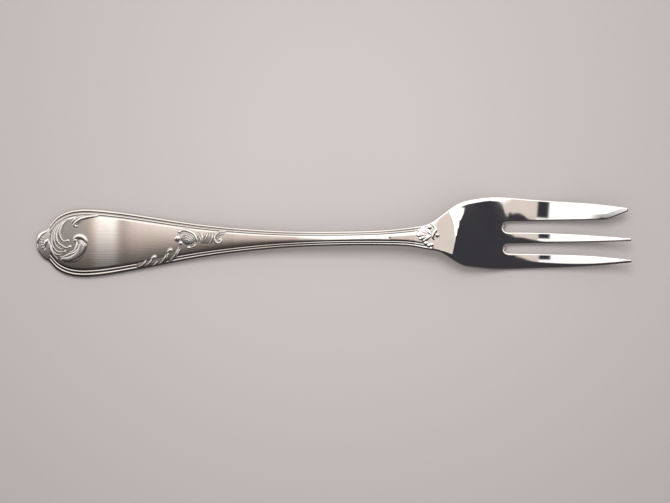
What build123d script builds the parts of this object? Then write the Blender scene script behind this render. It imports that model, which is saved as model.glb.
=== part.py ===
from build123d import *
import os
from math import atan, degrees, radians, sin

# Pastry fork struck from one blank of metal, in millimetres.
# While it is drawn, X runs from the handle's end to the tine tips along the handle's centre line,
# Y points to the wide cutting tine and Z up from the table. ORIGIN then moves it to the middle of its base.

# Lengths along the fork, one after the other
CREST_LENGTH = 3.4
HANDLE_LENGTH = 46.6
STEM_LENGTH = 45.5
NECK_LENGTH = 6.5
PALM_LENGTH = 17.2
TINE_LENGTH = 30.8

# Half widths of the handle and stem, with the distance of each from the piece's start
END_HALF_WIDTH = 4.7
SHOULDER = (2.7, 7.3)
WIDEST = (9.8, 8.63)
TAPER = (27.9, 6.0)
STEM_START_HALF_WIDTH = 3.22
STEM_TAPER = (14.0, 2.14)
WAIST = (29.0, 1.89)
STEM_FLARE = (40.0, 2.12)
STEM_END_HALF_WIDTH = 2.6
NECK_FLARE = (3.4, 3.3)

# Head: distance from the neck's end, then the reach to the cutting side and to the plain side
NECK_END_REACH = (5.15, 4.05)
PALM_SHOULDER = (5.0, 8.5, 7.2)
PALM_WIDEST = (13.9, 9.86, 8.66)
PALM_END_REACH = (9.62, 8.6)

# Tines: slots, then points of the edges as distance from the slots' round ends and Y, then the tips
SLOT_CENTRES = (2.08, -3.38)
SLOT_WIDTHS = (2.52, 2.2)
CUTTING_BACK = ((10.4, 8.57), (23.0, 7.46))
CUTTING_BEVEL_START = 23.4
CUTTING_SETBACK = 0.65
CUTTING_TIP = (6.3, 5.5)
MIDDLE_TAPER = ((10.8, 0.43), (23.0, -0.48))
MIDDLE_STRAIGHT = ((20.0, -2.24),)
MIDDLE_TIP = (-1.26, -2.04)
PLAIN_TAPER = ((10.8, -4.92), (23.0, -5.7))
PLAIN_BACK = ((10.4, -8.44), (23.0, -8.04))
PLAIN_TIP = (-6.7, -7.48)
TIP_ROUND = 0.34

# Side view: height of the underside above the table, thickness of the metal and the slopes of the head
REST_LENGTH = 16.0
NECK_CREST_FROM_STEM_END = 4.5
NECK_HEIGHT = 4.1
ARCH_FROM_NECK_CREST = 7.0
HEEL_FROM_PALM_END = 1.8
TIP_HEIGHT = 4.6
TIP_RISE_PER_MM = 0.235
HANDLE_THICKNESS = 2.1
NECK_THICKNESS = 2.4
HEEL_THICKNESS = 1.9
TIP_THICKNESS = 1.0
HANDLE_CROWN = 0.45
STEM_CROWN = 0.55
NECK_CROWN = 0.2
CROWN_SPREAD = 1.3
EDGE_ROUND = 0.3

# Apron: the neck's level top runs on over the palm's root, then bends down into the scoop
APRON_FALL_PER_MM = 0.037
APRON_END_FROM_NECK = 2.8
APRON_BEND = 2.4
SCOOP_FALL_PER_MM = 0.36

# Thread border: an outer and an inner thread and the groove between them, on the handle and on the stem
OUTER_THREAD = (0.86, 0.56)
INNER_THREAD = (0.58, 0.42)
GROOVE_WIDTH = 0.2
THREAD_HEIGHT = 0.3
THREAD_STEPS = 40

# Ornament: how far it stands above the panel's floor, then the sizes of the repeats
ORNAMENT_RELIEF = 0.5
GADROON_COUNT = 7
GADROON_SPREAD = 96.0
GADROON_RADIUS = 0.4
GADROON_LENGTH = 1.25
GADROON_SETBACK = 0.15
SHELL_LOBES = 5
SHELL_SPREAD = 92.0
SHELL_LOBE_RADIUS = 0.5
SHELL_REACH = (1.2, 3.6)
BEAD_RADIUS = 0.62
BEAD_PLACE = (5.7, 0.33)
FROND_WIDTH = 0.62
LEAF_WIDTH = 0.75
RIB_WIDTH = 0.45

# End scroll: distance from the crest, Y and radius of its outer round, its mouth and its head
SCROLL_ROUND = (6.75, -1.5, 2.85)
SCROLL_MOUTH = (4.9, -1.0, 2.0)
SCROLL_HEAD = (7.5, 0.95, 0.85)

# Fronds: their common root, then tip and bow of each, as distance from the crest and Y
FROND_ROOT = (4.1, 5.2)
FRONDS = (((4.5, 0.6), -1.0), ((4.7, -1.0), -1.75), ((3.7, -1.9), -2.05), ((2.9, -2.7), -2.2))

# Curl of the inner thread: distance from the crest, Y and radius
CURL = (6.0, 5.5, 0.75)
CURL_LENGTH = 4.4

# Edge leaves: first and last root as distance before the stem and Y, then length of the first and the last
EDGE_LEAF_COUNT = 5
EDGE_LEAF_ROOTS = ((24.0, -5.7), (15.6, -4.1))
EDGE_LEAF_LENGTHS = (3.2, 4.6)
EDGE_LEAF_SLANT = 42.0

# Leaf spray: its length before the stem, then fan, scroll and leaves as distance from its first bead and Y
SPRAY_LENGTH = 14.2
SPRAY_Y = 0.72
FAN = (2.9, 0.4, 1.9)
SPRAY_SCROLL = (10.8, 0.3, 0.9)
SPRAY_LEAVES = (
    ((4.7, 2.0), (5.6, -1.2), 0.7),
    ((7.2, 2.0), (6.7, -1.0), 0.6),
    ((8.6, 1.7), (7.7, -1.1), 0.6),
    ((12.0, 1.7), (10.6, -0.6), -0.9),
)

# Stations worked out from the lengths
CREST_END = CREST_LENGTH
STEM_START = CREST_END + HANDLE_LENGTH
STEM_END = STEM_START + STEM_LENGTH
NECK_END = STEM_END + NECK_LENGTH
PALM_END = NECK_END + PALM_LENGTH
TIP_END = PALM_END + TINE_LENGTH
NECK_CREST = STEM_END - NECK_CREST_FROM_STEM_END
HEEL = PALM_END + HEEL_FROM_PALM_END
NECK_TOP = NECK_HEIGHT + NECK_THICKNESS
ARCH = NECK_CREST + ARCH_FROM_NECK_CREST
APRON_END = NECK_END + APRON_END_FROM_NECK
ORIGIN = Pos(-TIP_END / 2, -(PALM_WIDEST[1] - PALM_WIDEST[2]) / 2, 0)

# Room that cutting blocks take beyond the metal
CLEAR = 3.0
CEILING = NECK_TOP + CLEAR
SIDE = PALM_WIDEST[1] + CLEAR


def smooth_step(x, start, end):
    """0 before start, 1 after end, and a cubic with level ends between them."""
    share = min(1.0, max(0.0, (x - start) / (end - start)))
    return share * share * (3 - 2 * share)


def handle_top(x):
    """Height of the top along the centre line, from the handle's end to the apron's end and beyond."""
    rise = (NECK_TOP - HANDLE_THICKNESS) * smooth_step(x, REST_LENGTH, NECK_CREST)
    return HANDLE_THICKNESS + rise - APRON_FALL_PER_MM * max(0.0, x - NECK_CREST)


def s_curve(start, end, start_slope=0.0, end_slope=0.0):
    """A cubic between two points of the side view, with its slope at either end."""
    third = (end[0] - start[0]) / 3
    first = (start[0] + third, start[1] + third * start_slope)
    return Bezier(start, first, (end[0] - third, end[1] - third * end_slope), end)


def tine_curve(heel, tip):
    """The tines in the side view, from the heel on. It runs past the tips, so that no seam falls on them."""
    end = (TIP_END + CLEAR, tip + CLEAR * TIP_RISE_PER_MM)
    return s_curve((HEEL, heel), end, 0, TIP_RISE_PER_MM)


def under_curve():
    """The underside in the side view: flat rest, arch under the neck, heel and tines."""
    rest = Line((-CLEAR, 0), (REST_LENGTH, 0))
    rise = s_curve((REST_LENGTH, 0), (ARCH, NECK_HEIGHT))
    return [rest, rise, s_curve((ARCH, NECK_HEIGHT), (HEEL, 0)), tine_curve(0, TIP_HEIGHT)]


def scoop_curve():
    """The top of the head in the side view: level apron, its bend, the palm's scoop and the tines."""
    apron = Line((STEM_END, handle_top(STEM_END)), (APRON_END, handle_top(APRON_END)))
    bend_fall = APRON_BEND * (APRON_FALL_PER_MM + SCOOP_FALL_PER_MM) / 2
    bend_end = (APRON_END + APRON_BEND, handle_top(APRON_END) - bend_fall)
    bend = s_curve((APRON_END, handle_top(APRON_END)), bend_end, -APRON_FALL_PER_MM, -SCOOP_FALL_PER_MM)
    scoop = s_curve(bend_end, (HEEL, HEEL_THICKNESS), -SCOOP_FALL_PER_MM)
    return [apron, bend, scoop, tine_curve(HEEL_THICKNESS, TIP_HEIGHT + TIP_THICKNESS)]


def side_block(lines, far_height):
    """The block between a line of the side view and a level far above or below it, wider than the fork."""
    first, last = lines[0] @ 0, lines[-1] @ 1
    closing = Polyline(last, (last.X, far_height), (first.X, far_height), first)
    return extrude(Plane.XZ.offset(-SIDE) * make_face([*lines, *closing.edges()]), 2 * SIDE)


def plan_block(lines):
    """A plan outline, closed by its lines, as a block through the whole height."""
    return extrude(Pos(0, 0, -CLEAR) * make_face(lines), CEILING + 2 * CLEAR)


def slice_between(solid, start, end):
    """The part of a solid between two stations."""
    length = end - start
    return solid & Pos((start + end) / 2, 0, 0) * Box(length, 2 * SIDE, 4 * CEILING)


def edge_points(side):
    """Points of the blank's edge from the crest to the slots: side 0 is the cutting side, 1 the plain."""
    sign = 1 if side == 0 else -1
    joint_run = CREST_LENGTH / 2
    halves = [
        (CREST_END - joint_run, END_HALF_WIDTH - 1.45 * joint_run),
        (CREST_END, END_HALF_WIDTH),
        (CREST_END + SHOULDER[0], SHOULDER[1]),
        (CREST_END + WIDEST[0], WIDEST[1]),
        (CREST_END + TAPER[0], TAPER[1]),
        (STEM_START, STEM_START_HALF_WIDTH),
        (STEM_START + STEM_TAPER[0], STEM_TAPER[1]),
        (STEM_START + WAIST[0], WAIST[1]),
        (STEM_START + STEM_FLARE[0], STEM_FLARE[1]),
        (STEM_END, STEM_END_HALF_WIDTH),
        (STEM_END + NECK_FLARE[0], NECK_FLARE[1]),
        (NECK_END, NECK_END_REACH[side]),
        (NECK_END + PALM_SHOULDER[0], PALM_SHOULDER[1 + side]),
        (NECK_END + PALM_WIDEST[0], PALM_WIDEST[1 + side]),
        (PALM_END, PALM_END_REACH[side]),
    ]
    return [(x, sign * half) for x, half in halves]


def arch_section(x, half, crown, top):
    """The space under one crowned cross-section at a station."""
    # The arch runs on past the metal's edge, then level, so that the section is wider than the fork
    reach, foot = half * CROWN_SPREAD, top - crown * CROWN_SPREAD ** 2
    arch = ThreePointArc((-reach, foot), (0, top), (reach, foot))
    level = [(reach, foot), (SIDE, foot), (SIDE, -CLEAR), (-SIDE, -CLEAR), (-SIDE, foot), (-reach, foot)]
    return Plane.YZ.offset(x) * make_face([arch, *Polyline(*level).edges()])


def crowned_block(drop):
    """The space under the handle's crowned top, lowered by drop, from the handle's end to the neck's end."""
    stations = [
        (-CLEAR, END_HALF_WIDTH, HANDLE_CROWN),
        (CREST_END + WIDEST[0], WIDEST[1], HANDLE_CROWN),
        (CREST_END + TAPER[0], TAPER[1], HANDLE_CROWN),
        (STEM_START, STEM_START_HALF_WIDTH, STEM_CROWN),
        (STEM_START + STEM_TAPER[0], STEM_TAPER[1], STEM_CROWN),
        (STEM_START + WAIST[0], WAIST[1], STEM_CROWN),
        (NECK_CREST, STEM_FLARE[1], STEM_CROWN),
        (NECK_END, NECK_END_REACH[0], NECK_CROWN),
    ]
    return loft([arch_section(x, half, crown, handle_top(x) - drop) for x, half, crown in stations])


def inset_line(edge, widths):
    """A line inside an edge, up to the neck's end: one width away on the handle, another on the stem."""
    inward = -1 if (edge @ 1).Y > 0 else 1
    points = []
    for step in range(THREAD_STEPS + 1):
        place, along = edge.position_at(step / THREAD_STEPS), edge.tangent_at(step / THREAD_STEPS)
        if place.X < NECK_END:
            share = min(1.0, max(0.0, (abs(place.Y) - WAIST[1]) / (WIDEST[1] - WAIST[1])))
            inset = widths[1] + (widths[0] - widths[1]) * share
            points.append((place.X - inward * along.Y * inset, place.Y + inward * along.X * inset))
    return Spline(*points)


def strip_between(one, other):
    """The plan between two lines that run the same way, as a block."""
    return plan_block([one, Line(one @ 1, other @ 1), other, Line(other @ 0, one @ 0)])


def leaf(root, tip, bow, width):
    """A crescent leaf in plan: two arcs from root to tip, with their middle bow to the left of the chord."""
    root, tip = Vector(root), Vector(tip)
    middle = (root + tip) / 2
    left = (tip - root).normalized().rotate(Axis.Z, 90)
    outer = ThreePointArc(root, middle + left * (bow + width / 2), tip)
    inner = ThreePointArc(tip, middle + left * (bow - width / 2), root)
    return make_face([outer, inner])


def disc(x, y, radius):
    """A round in plan."""
    return Pos(x, y) * Circle(radius)


def lobe(x, z, angle, reach, radius, tilt=0.0):
    """A raised lobe that points away from (x, 0, z) at an angle in plan, between two distances."""
    stick = Pos((reach[0] + reach[1]) / 2, 0, 0) * Rot(0, 90, 0) * Cylinder(radius, reach[1] - reach[0])
    nose = Pos(reach[1], 0, 0) * Sphere(radius)
    return Pos(x, 0, z) * Rot(0, tilt, 0) * Rot(0, 0, angle) * (stick + nose)


def rounded(solid):
    """A solid with its edges rounded, but for the upright ones and those straight across the fork."""
    lengthwise = [edge for edge in solid.edges() if edge.bounding_box().size.X > EDGE_ROUND / 4]
    return fillet(lengthwise, EDGE_ROUND)


def threaded(strip, upper, lower, floor):
    """The strip with its border: everything inside the threads is lowered to the panel's floor."""
    groove = [width + GROOVE_WIDTH for width in OUTER_THREAD]
    inner = [first + second for first, second in zip(groove, INNER_THREAD)]
    sunk = strip_between(inset_line(upper, inner), inset_line(lower, inner))
    for edge in (upper, lower):
        sunk += strip_between(inset_line(edge, OUTER_THREAD), inset_line(edge, groove))
    return strip - (sunk - floor)


def end_crest(over):
    """The crest: the end of a round under one arch, with gadroons that point out from its centre."""
    half = (END_HALF_WIDTH + WIDEST[1]) / 2
    radius = (CREST_LENGTH ** 2 + END_HALF_WIDTH ** 2) / (2 * CREST_LENGTH)
    top = extrude(arch_section(-CLEAR, half, HANDLE_CROWN, HANDLE_THICKNESS), 2 * (CLEAR + radius))
    whole = rounded(Pos(radius, 0, 0) * Cylinder(radius, 4 * CEILING) & over & top)
    crest = slice_between(whole, -CLEAR, CREST_END)
    far = radius - EDGE_ROUND - GADROON_SETBACK - GADROON_RADIUS
    for count in range(GADROON_COUNT):
        angle = 180 + GADROON_SPREAD * (count / (GADROON_COUNT - 1) - 0.5)
        drop = HANDLE_CROWN * (sin(radians(angle)) * far / half) ** 2
        reach = (far - GADROON_LENGTH, far)
        crest += lobe(radius, HANDLE_THICKNESS - drop, angle, reach, GADROON_RADIUS)
    return crest


def neck_shell(neck):
    """The neck with its shell of lobes that open to the head and the bead in front of it."""
    tilt = degrees(atan(APRON_FALL_PER_MM))
    for count in range(SHELL_LOBES):
        angle = SHELL_SPREAD * (count / (SHELL_LOBES - 1) - 0.5)
        neck += lobe(STEM_END, handle_top(STEM_END), angle, SHELL_REACH, SHELL_LOBE_RADIUS, tilt)
    x = STEM_END + BEAD_PLACE[0]
    return neck + Pos(x, BEAD_PLACE[1], handle_top(x)) * Sphere(BEAD_RADIUS)


def palm(upper, lower, over, scoop):
    """The palm: the level apron bends down into the scoop, and the slots' round ends are in the far edge."""
    solid = slice_between(strip_between(upper, lower) & over & scoop, NECK_END, PALM_END)
    for y, width in zip(SLOT_CENTRES, SLOT_WIDTHS):
        solid -= Pos(PALM_END, y, 0) * Cylinder(width / 2, 4 * CEILING)
    return rounded(solid)


def slot_side(slot, side):
    """Y of one side of a slot: side 1 faces the cutting tine, -1 the plain tine."""
    return SLOT_CENTRES[slot] + side * SLOT_WIDTHS[slot] / 2


def tine_edge(first_y, points, tip_y, setback=0.0):
    """A tine's edge: from the palm at first_y through points given from the slots' round ends to its tip."""
    middle = [(PALM_END + x, y) for x, y in points]
    return Spline((PALM_END, first_y), *middle, (TIP_END - setback, tip_y))


def tine_plan(edges):
    """A tine in plan between its edges, with the two corners of its tip rounded."""
    face = make_face([*edges, Line(edges[0] @ 1, edges[-1] @ 1), Line(edges[0] @ 0, edges[1] @ 0)])
    return fillet(face.vertices().sort_by(Axis.X)[-2:], TIP_ROUND)


def cutting_plan():
    """The wide tine in plan: a straight inner edge that bends away in a bevel to the tip."""
    back = tine_edge(PALM_END_REACH[0], CUTTING_BACK, CUTTING_TIP[0], CUTTING_SETBACK)
    bevel_start = (PALM_END + CUTTING_BEVEL_START, slot_side(0, 1))
    inner = Line((PALM_END, slot_side(0, 1)), bevel_start)
    bevel = TangentArc(bevel_start, (TIP_END - CUTTING_SETBACK, CUTTING_TIP[1]), tangent=(1, 0))
    return tine_plan([back, inner, bevel])


def middle_plan():
    """The middle tine in plan, between the two slots."""
    taper = tine_edge(slot_side(0, -1), MIDDLE_TAPER, MIDDLE_TIP[0])
    return tine_plan([taper, tine_edge(slot_side(1, 1), MIDDLE_STRAIGHT, MIDDLE_TIP[1])])


def plain_plan():
    """The outer tine on the plain side in plan."""
    taper = tine_edge(slot_side(1, -1), PLAIN_TAPER, PLAIN_TIP[0])
    return tine_plan([taper, tine_edge(-PALM_END_REACH[1], PLAIN_BACK, PLAIN_TIP[1])])


def ornament(plan, raised, floor, handle):
    """A plan shape as a relief that sits on the handle's panel, under a crowned top of its own."""
    return (extrude(plan, CEILING) & raised) - floor - handle


def end_scroll():
    """The C-scroll in plan: a round with a round mouth, and the rolled head at its upper end."""
    x, y, radius = SCROLL_MOUTH
    body = disc(CREST_END + SCROLL_ROUND[0], *SCROLL_ROUND[1:]) - disc(CREST_END + x, y, radius)
    return body + disc(CREST_END + SCROLL_HEAD[0], *SCROLL_HEAD[1:])


def frond_spray():
    """Fronds in plan that spread from one root by the border and curl into the scroll's mouth."""
    plan = Sketch()
    root = (CREST_END + FROND_ROOT[0], FROND_ROOT[1])
    for tip, bow in FRONDS:
        plan += leaf(root, (CREST_END + tip[0], tip[1]), bow, FROND_WIDTH)
    return plan


def side_curl():
    """The curled start of the inner thread in plan."""
    x, y, radius = CREST_END + CURL[0], CURL[1], CURL[2]
    return disc(x, y, radius) + leaf((x, y), (x + CURL_LENGTH, y + radius), 0.5, FROND_WIDTH)


def edge_leaves():
    """Slanted leaves in plan that grow larger toward the stem, joined by a rib along the border."""
    first, last = [Vector(STEM_START - x, y) for x, y in EDGE_LEAF_ROOTS]
    step = (last - first) / (EDGE_LEAF_COUNT - 1)
    plan = leaf(first - step, last + step, -RIB_WIDTH, RIB_WIDTH)
    for count in range(EDGE_LEAF_COUNT):
        root = first + step * count - Vector(0, RIB_WIDTH)
        share = count / (EDGE_LEAF_COUNT - 1)
        size = EDGE_LEAF_LENGTHS[0] + (EDGE_LEAF_LENGTHS[1] - EDGE_LEAF_LENGTHS[0]) * share
        plan += leaf(root, root + Vector(size, 0).rotate(Axis.Z, EDGE_LEAF_SLANT), -0.4, LEAF_WIDTH)
    return plan


def leaf_spray():
    """Fan, leaves and small scroll in plan, joined by a midrib."""
    base = STEM_START - SPRAY_LENGTH
    plan = disc(base, SPRAY_Y, LEAF_WIDTH) + disc(base + FAN[0], FAN[1], FAN[2])
    plan += leaf((base, SPRAY_Y), (base + SPRAY_SCROLL[0], SPRAY_SCROLL[1]), 0.3, RIB_WIDTH)
    for root, tip, bow in SPRAY_LEAVES:
        plan += leaf((base + root[0], root[1]), (base + tip[0], tip[1]), bow, LEAF_WIDTH)
    return plan + disc(base + SPRAY_SCROLL[0], SPRAY_SCROLL[1], SPRAY_SCROLL[2])


def main():
    """Builds every piece and writes one file for each."""
    upper, lower = Spline(*edge_points(0)), Spline(*edge_points(1))
    over, scoop = side_block(under_curve(), CEILING), side_block(scoop_curve(), -CLEAR)
    top, floor = crowned_block(0), crowned_block(THREAD_HEIGHT)
    raised = crowned_block(THREAD_HEIGHT - ORNAMENT_RELIEF)

    strip = rounded(strip_between(upper, lower) & over & top)
    struck = threaded(strip, upper, lower, floor)
    handle = slice_between(struck, CREST_END, STEM_START)
    pieces = {
        "end_crest": end_crest(over),
        "handle": handle,
        "stem": slice_between(struck, STEM_START, STEM_END),
        "neck_shell": neck_shell(slice_between(strip, STEM_END, NECK_END)),
        "end_scroll": ornament(end_scroll(), raised, floor, handle),
        "frond_spray": ornament(frond_spray(), raised, floor, handle),
        "side_curl": ornament(side_curl(), raised, floor, handle),
        "edge_leaves": ornament(edge_leaves(), raised, floor, handle),
        "leaf_spray": ornament(leaf_spray(), raised, floor, handle),
        "palm": palm(upper, lower, over, scoop),
    }
    tines = {"cutting_tine": cutting_plan(), "middle_tine": middle_plan(), "plain_tine": plain_plan()}
    for name, plan in tines.items():
        pieces[name] = rounded(extrude(Pos(0, 0, -CLEAR) * plan, CEILING) & over & scoop)

    os.makedirs("parts", exist_ok=True)
    for name, solid in pieces.items():
        export_step(ORIGIN * solid, f"parts/{name}.step")


if __name__ == "__main__":
    main()
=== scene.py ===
"""Pastry fork in silver, seen from straight above on a pale table.

The builders work in millimetres: s runs from the handle's end to the tine tips, y from the handle's
centre line to the cutting tine's side, and z up from the table. The frame's origin lies at s 75 and y 0.6.
"""

import logging
import math
from collections.abc import Callable
from dataclasses import dataclass, field
from enum import Enum

import bpy
import numpy as np
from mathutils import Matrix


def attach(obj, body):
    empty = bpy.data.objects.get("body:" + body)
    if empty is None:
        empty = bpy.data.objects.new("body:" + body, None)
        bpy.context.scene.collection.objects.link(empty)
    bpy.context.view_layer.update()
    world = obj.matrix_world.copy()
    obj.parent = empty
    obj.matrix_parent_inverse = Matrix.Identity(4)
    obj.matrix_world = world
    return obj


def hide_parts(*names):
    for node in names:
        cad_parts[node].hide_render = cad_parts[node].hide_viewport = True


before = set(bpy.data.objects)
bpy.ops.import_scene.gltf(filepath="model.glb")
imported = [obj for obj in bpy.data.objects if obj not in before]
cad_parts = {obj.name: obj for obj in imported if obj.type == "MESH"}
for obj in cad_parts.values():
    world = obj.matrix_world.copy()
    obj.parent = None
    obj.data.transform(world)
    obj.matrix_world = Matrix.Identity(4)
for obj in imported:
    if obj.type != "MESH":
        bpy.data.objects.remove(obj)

LOG = logging.getLogger("fork")
MM = 0.001
ORIGIN_S = 75.0
ORIGIN_Y = 0.6

CREST_END = 3.4
STEM_START = 50.0
STEM_END = 95.5
NECK_END = 102.0
PALM_END = 119.2
TIP_END = 150.0

Array = np.ndarray
Pair = tuple[float, float]
Triple = tuple[float, float, float]
Points = tuple[Pair, ...]
Stops = tuple[tuple[float, Triple], ...]
Edge = Callable[[Array], Array]
Socket = bpy.types.NodeSocket


class Slot(Enum):
    """The record's two finishes."""

    SATIN = "satin_silver"
    POLISHED = "polished_silver"


@dataclass(frozen=True)
class Spline:
    """Natural cubic spline through knots: a cubic per span, with a continuous bend that is 0 at the ends."""

    knots: Points

    def __call__(self, at: Array) -> Array:
        """Evaluates the spline.

        Args:
            at: places along the first axis of the knots.

        Returns:
            The spline's value at each place.
        """
        x, y = np.array(self.knots, dtype=float).T
        gap = np.diff(x)
        count = len(x)
        system = np.eye(count)
        right = np.zeros(count)
        inner = np.arange(1, count - 1)
        system[inner, inner - 1] = gap[:-1]
        system[inner, inner] = 2 * (gap[:-1] + gap[1:])
        system[inner, inner + 1] = gap[1:]
        right[1:-1] = 6 * (np.diff(y)[1:] / gap[1:] - np.diff(y)[:-1] / gap[:-1])
        bend = np.linalg.solve(system, right)
        at = np.asarray(at, dtype=float)
        span = np.clip(np.searchsorted(x, at) - 1, 0, count - 2)
        width = gap[span]
        left, after = (x[span + 1] - at) / width, (at - x[span]) / width
        curve = ((left**3 - left) * bend[span] + (after**3 - after) * bend[span + 1]) * width**2 / 6
        return left * y[span] + after * y[span + 1] + curve


def ramp(at: Array, start: float, end: float) -> Array:
    """0 before start, 1 after end, with the cubic 3t^2 - 2t^3 between them."""
    share = np.clip((np.asarray(at, dtype=float) - start) / (end - start), 0, 1)
    return share * share * (3 - 2 * share)


def hermite(at: Array, start: Pair, end: Pair, end_slope: float = 0.0) -> Array:
    """Cubic from a level start to an end with a slope.

    Args:
        at: places along the fork.
        start: first point of the side view.
        end: last point of the side view.
        end_slope: rise per millimetre at the end.

    Returns:
        Height at each place, held level beyond the ends.
    """
    run = end[0] - start[0]
    share = np.clip((at - start[0]) / run, 0, 1)
    rise = (end[1] - start[1]) * ramp(at, start[0], end[0])
    return start[1] + rise + (share**3 - share**2) * run * end_slope


def through(points: Points, count: int) -> Array:
    """A smooth path through points: a natural spline of each coordinate over the chord length.

    Args:
        points: places in s and y.
        count: how many places the path gets.

    Returns:
        Array of count rows with s and y.
    """
    places = np.array(points, dtype=float)
    chord = np.concatenate([[0], np.cumsum(np.hypot(*np.diff(places, axis=0).T))])
    at = np.linspace(0, chord[-1], count)
    columns = [Spline(tuple(zip(chord, places[:, axis])))(at) for axis in (0, 1)]
    return np.stack(columns, axis=1)


def both_dense(count: int) -> Array:
    """Shares from 0 to 1 that are dense at both ends: half of 1 - cos t over half a turn."""
    return (1 - np.cos(np.linspace(0, math.pi, count))) / 2


def start_dense(count: int) -> Array:
    """Shares from 0 to 1 that are dense at the start: 1 - cos t over a quarter turn."""
    return 1 - np.cos(np.linspace(0, math.pi / 2, count))


@dataclass
class Blank:
    """The struck blank: its outline, side view, crown and thread border.

    A table pairs places along the fork with values, or places across it for the bend. A pair that is named
    for what happens, such as lean_grows, is the span along the fork in which it happens. The border's beads,
    each with its middle and half width, and the panel's edge are shares of the border's width.
    """

    shared_edge: Points = (
        (2.4, 3.62), (3.4, 4.86), (4.4, 6.02), (6.1, 7.3), (8.8, 8.3), (13.2, 8.62), (20.0, 7.93),
        (31.3, 6.0), (42.7, 4.1), (50.0, 3.22), (64.0, 2.14), (77.0, 1.88), (90.0, 2.12), (95.5, 2.6),
        (98.9, 3.3),
    )
    cutting_edge: Points = (
        (102.0, 5.15), (104.6, 7.05), (107.2, 8.55), (110.5, 9.38), (115.6, 9.85), (119.2, 9.62),
        (129.6, 8.57), (142.2, 7.46), (150.0, 6.25),
    )
    plain_edge: Points = (
        (102.0, 4.05), (104.6, 5.68), (107.2, 7.25), (110.5, 8.07), (115.6, 8.63), (119.2, 8.6),
        (129.6, 8.44), (142.2, 8.04), (150.0, 7.48),
    )
    slopes: Points = (
        (0, 0.05), (8, 0.045), (10, 0.034), (13.2, 0.031), (14.3, 0.015), (15.3, 0.002), (16.3, -0.002),
        (19.2, 0.001), (20.3, 0.014), (21.3, 0.037), (22.3, 0.046), (23.3, 0.04), (24.4, 0.036),
        (26, 0.0345), (40, 0.06), (50, 0.085), (60, 0.1), (65, 0.105), (66.8, 0.095), (70, 0.086),
        (75, 0.066), (82, 0.036), (89.0, 0.012), (89.6, -0.025), (97, -0.035), (106, -0.045),
        (112, -0.055), (116, 0.065), (118, 0.18), (119.2, 0.28), (121, 0.325), (127.8, 0.396),
        (130, 0.417), (140, 0.495), (153, 0.58),
    )
    datum: Pair = (16.0, 2.1)
    crowns: Points = (
        (0, 0.42), (31, 0.42), (50, 0.4), (84, 0.4), (91, 0.25), (99, 0.08), (102, 0.03), (107, 0.0),
    )
    rest_end: float = 16.0
    arch: Pair = (98.0, 4.1)
    heel: float = 121.0
    tip_under: Pair = (153.0, 5.305)
    tip_rise: float = 0.235
    border_widths: Pair = (1.79, 1.22)
    border_halves: Pair = (8.63, 1.89)
    border_lean: float = 0.2
    bead_height: float = 0.1
    bead_columns: int = 15
    beads: tuple[Pair, Pair] = ((0.24, 0.24), (0.73, 0.17))
    inner_share: float = 0.8
    panel_edge: Pair = (1.2, 0.24)
    panel_share: float = 0.7
    open_gain: float = 1.6
    open_least: float = 0.1
    bend_fall: float = 0.33
    bend_places: Points = (
        (-9, 105.1), (-4.6, 105.1), (-3, 105.42), (-1.4, 105.75), (0, 106.0), (2, 106.2), (9, 106.2),
    )
    bend_lengths: Points = (
        (-9, 0.4), (-1.4, 0.4), (0, 0.75), (2, 1.45), (4, 2.3), (6, 4.2), (7, 4.8), (9, 5.2),
    )
    bend_middle: float = 106.0
    bend_evens: Pair = (107.0, 115.0)
    lean: float = 0.02
    lean_grows: Pair = (108.0, 116.0)
    shoulder: Pair = (1.8, 0.14)
    upper_share: float = 0.65
    upper_starts: Pair = (105.5, 108.0)
    upper_ends: Pair = (116.5, 119.0)
    lower_least: float = 0.4
    lower_loss: float = 0.85
    lower_starts: Pair = (99.0, 103.0)
    lower_widens: Pair = (101.0, 106.5)
    lower_narrows: Pair = (119.0, 142.0)

    def upper(self, s: Array) -> Array:
        """Y of the cutting side's edge."""
        return Spline(self.shared_edge + self.cutting_edge)(s)

    def lower(self, s: Array) -> Array:
        """Y of the plain side's edge."""
        return -Spline(self.shared_edge + self.plain_edge)(s)

    def ridge(self, s: Array) -> Array:
        """Height of the top along the centre line: the running sum of the slopes, which change linearly.

        Args:
            s: places along the fork.

        Returns:
            Height at each place.
        """
        fine = np.linspace(-1, TIP_END + 2, 15301)
        rise = np.interp(fine, *np.array(self.slopes).T)
        height = np.concatenate([[0], np.cumsum((rise[1:] + rise[:-1]) / 2 * np.diff(fine))])
        height += self.datum[1] - np.interp(self.datum[0], fine, height)
        return np.interp(s, fine, height)

    def bend(self, s: Array, y: Array) -> Array:
        """Height that is lost where the apron bends down into the scoop.

        Across the bend the slope grows in a straight line, so the height falls with the square of the way,
        and then evenly. The bend's place and length follow tables over y: it is a crease on the plain side,
        and soft on the cutting side. Toward the tines its place evens out.

        Args:
            s: places along the fork.
            y: places across it.

        Returns:
            Height to add, which is 0 before the bend.
        """
        place = np.interp(y, *np.array(self.bend_places).T)
        length = np.interp(y, *np.array(self.bend_lengths).T)
        middle = self.bend_middle + (place - self.bend_middle) * (1 - ramp(s, *self.bend_evens))
        past = np.clip(s - middle + length / 2, 0, None)
        inside = np.minimum(past, length)
        return -self.bend_fall * (past - inside + inside**2 / (2 * length))

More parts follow.
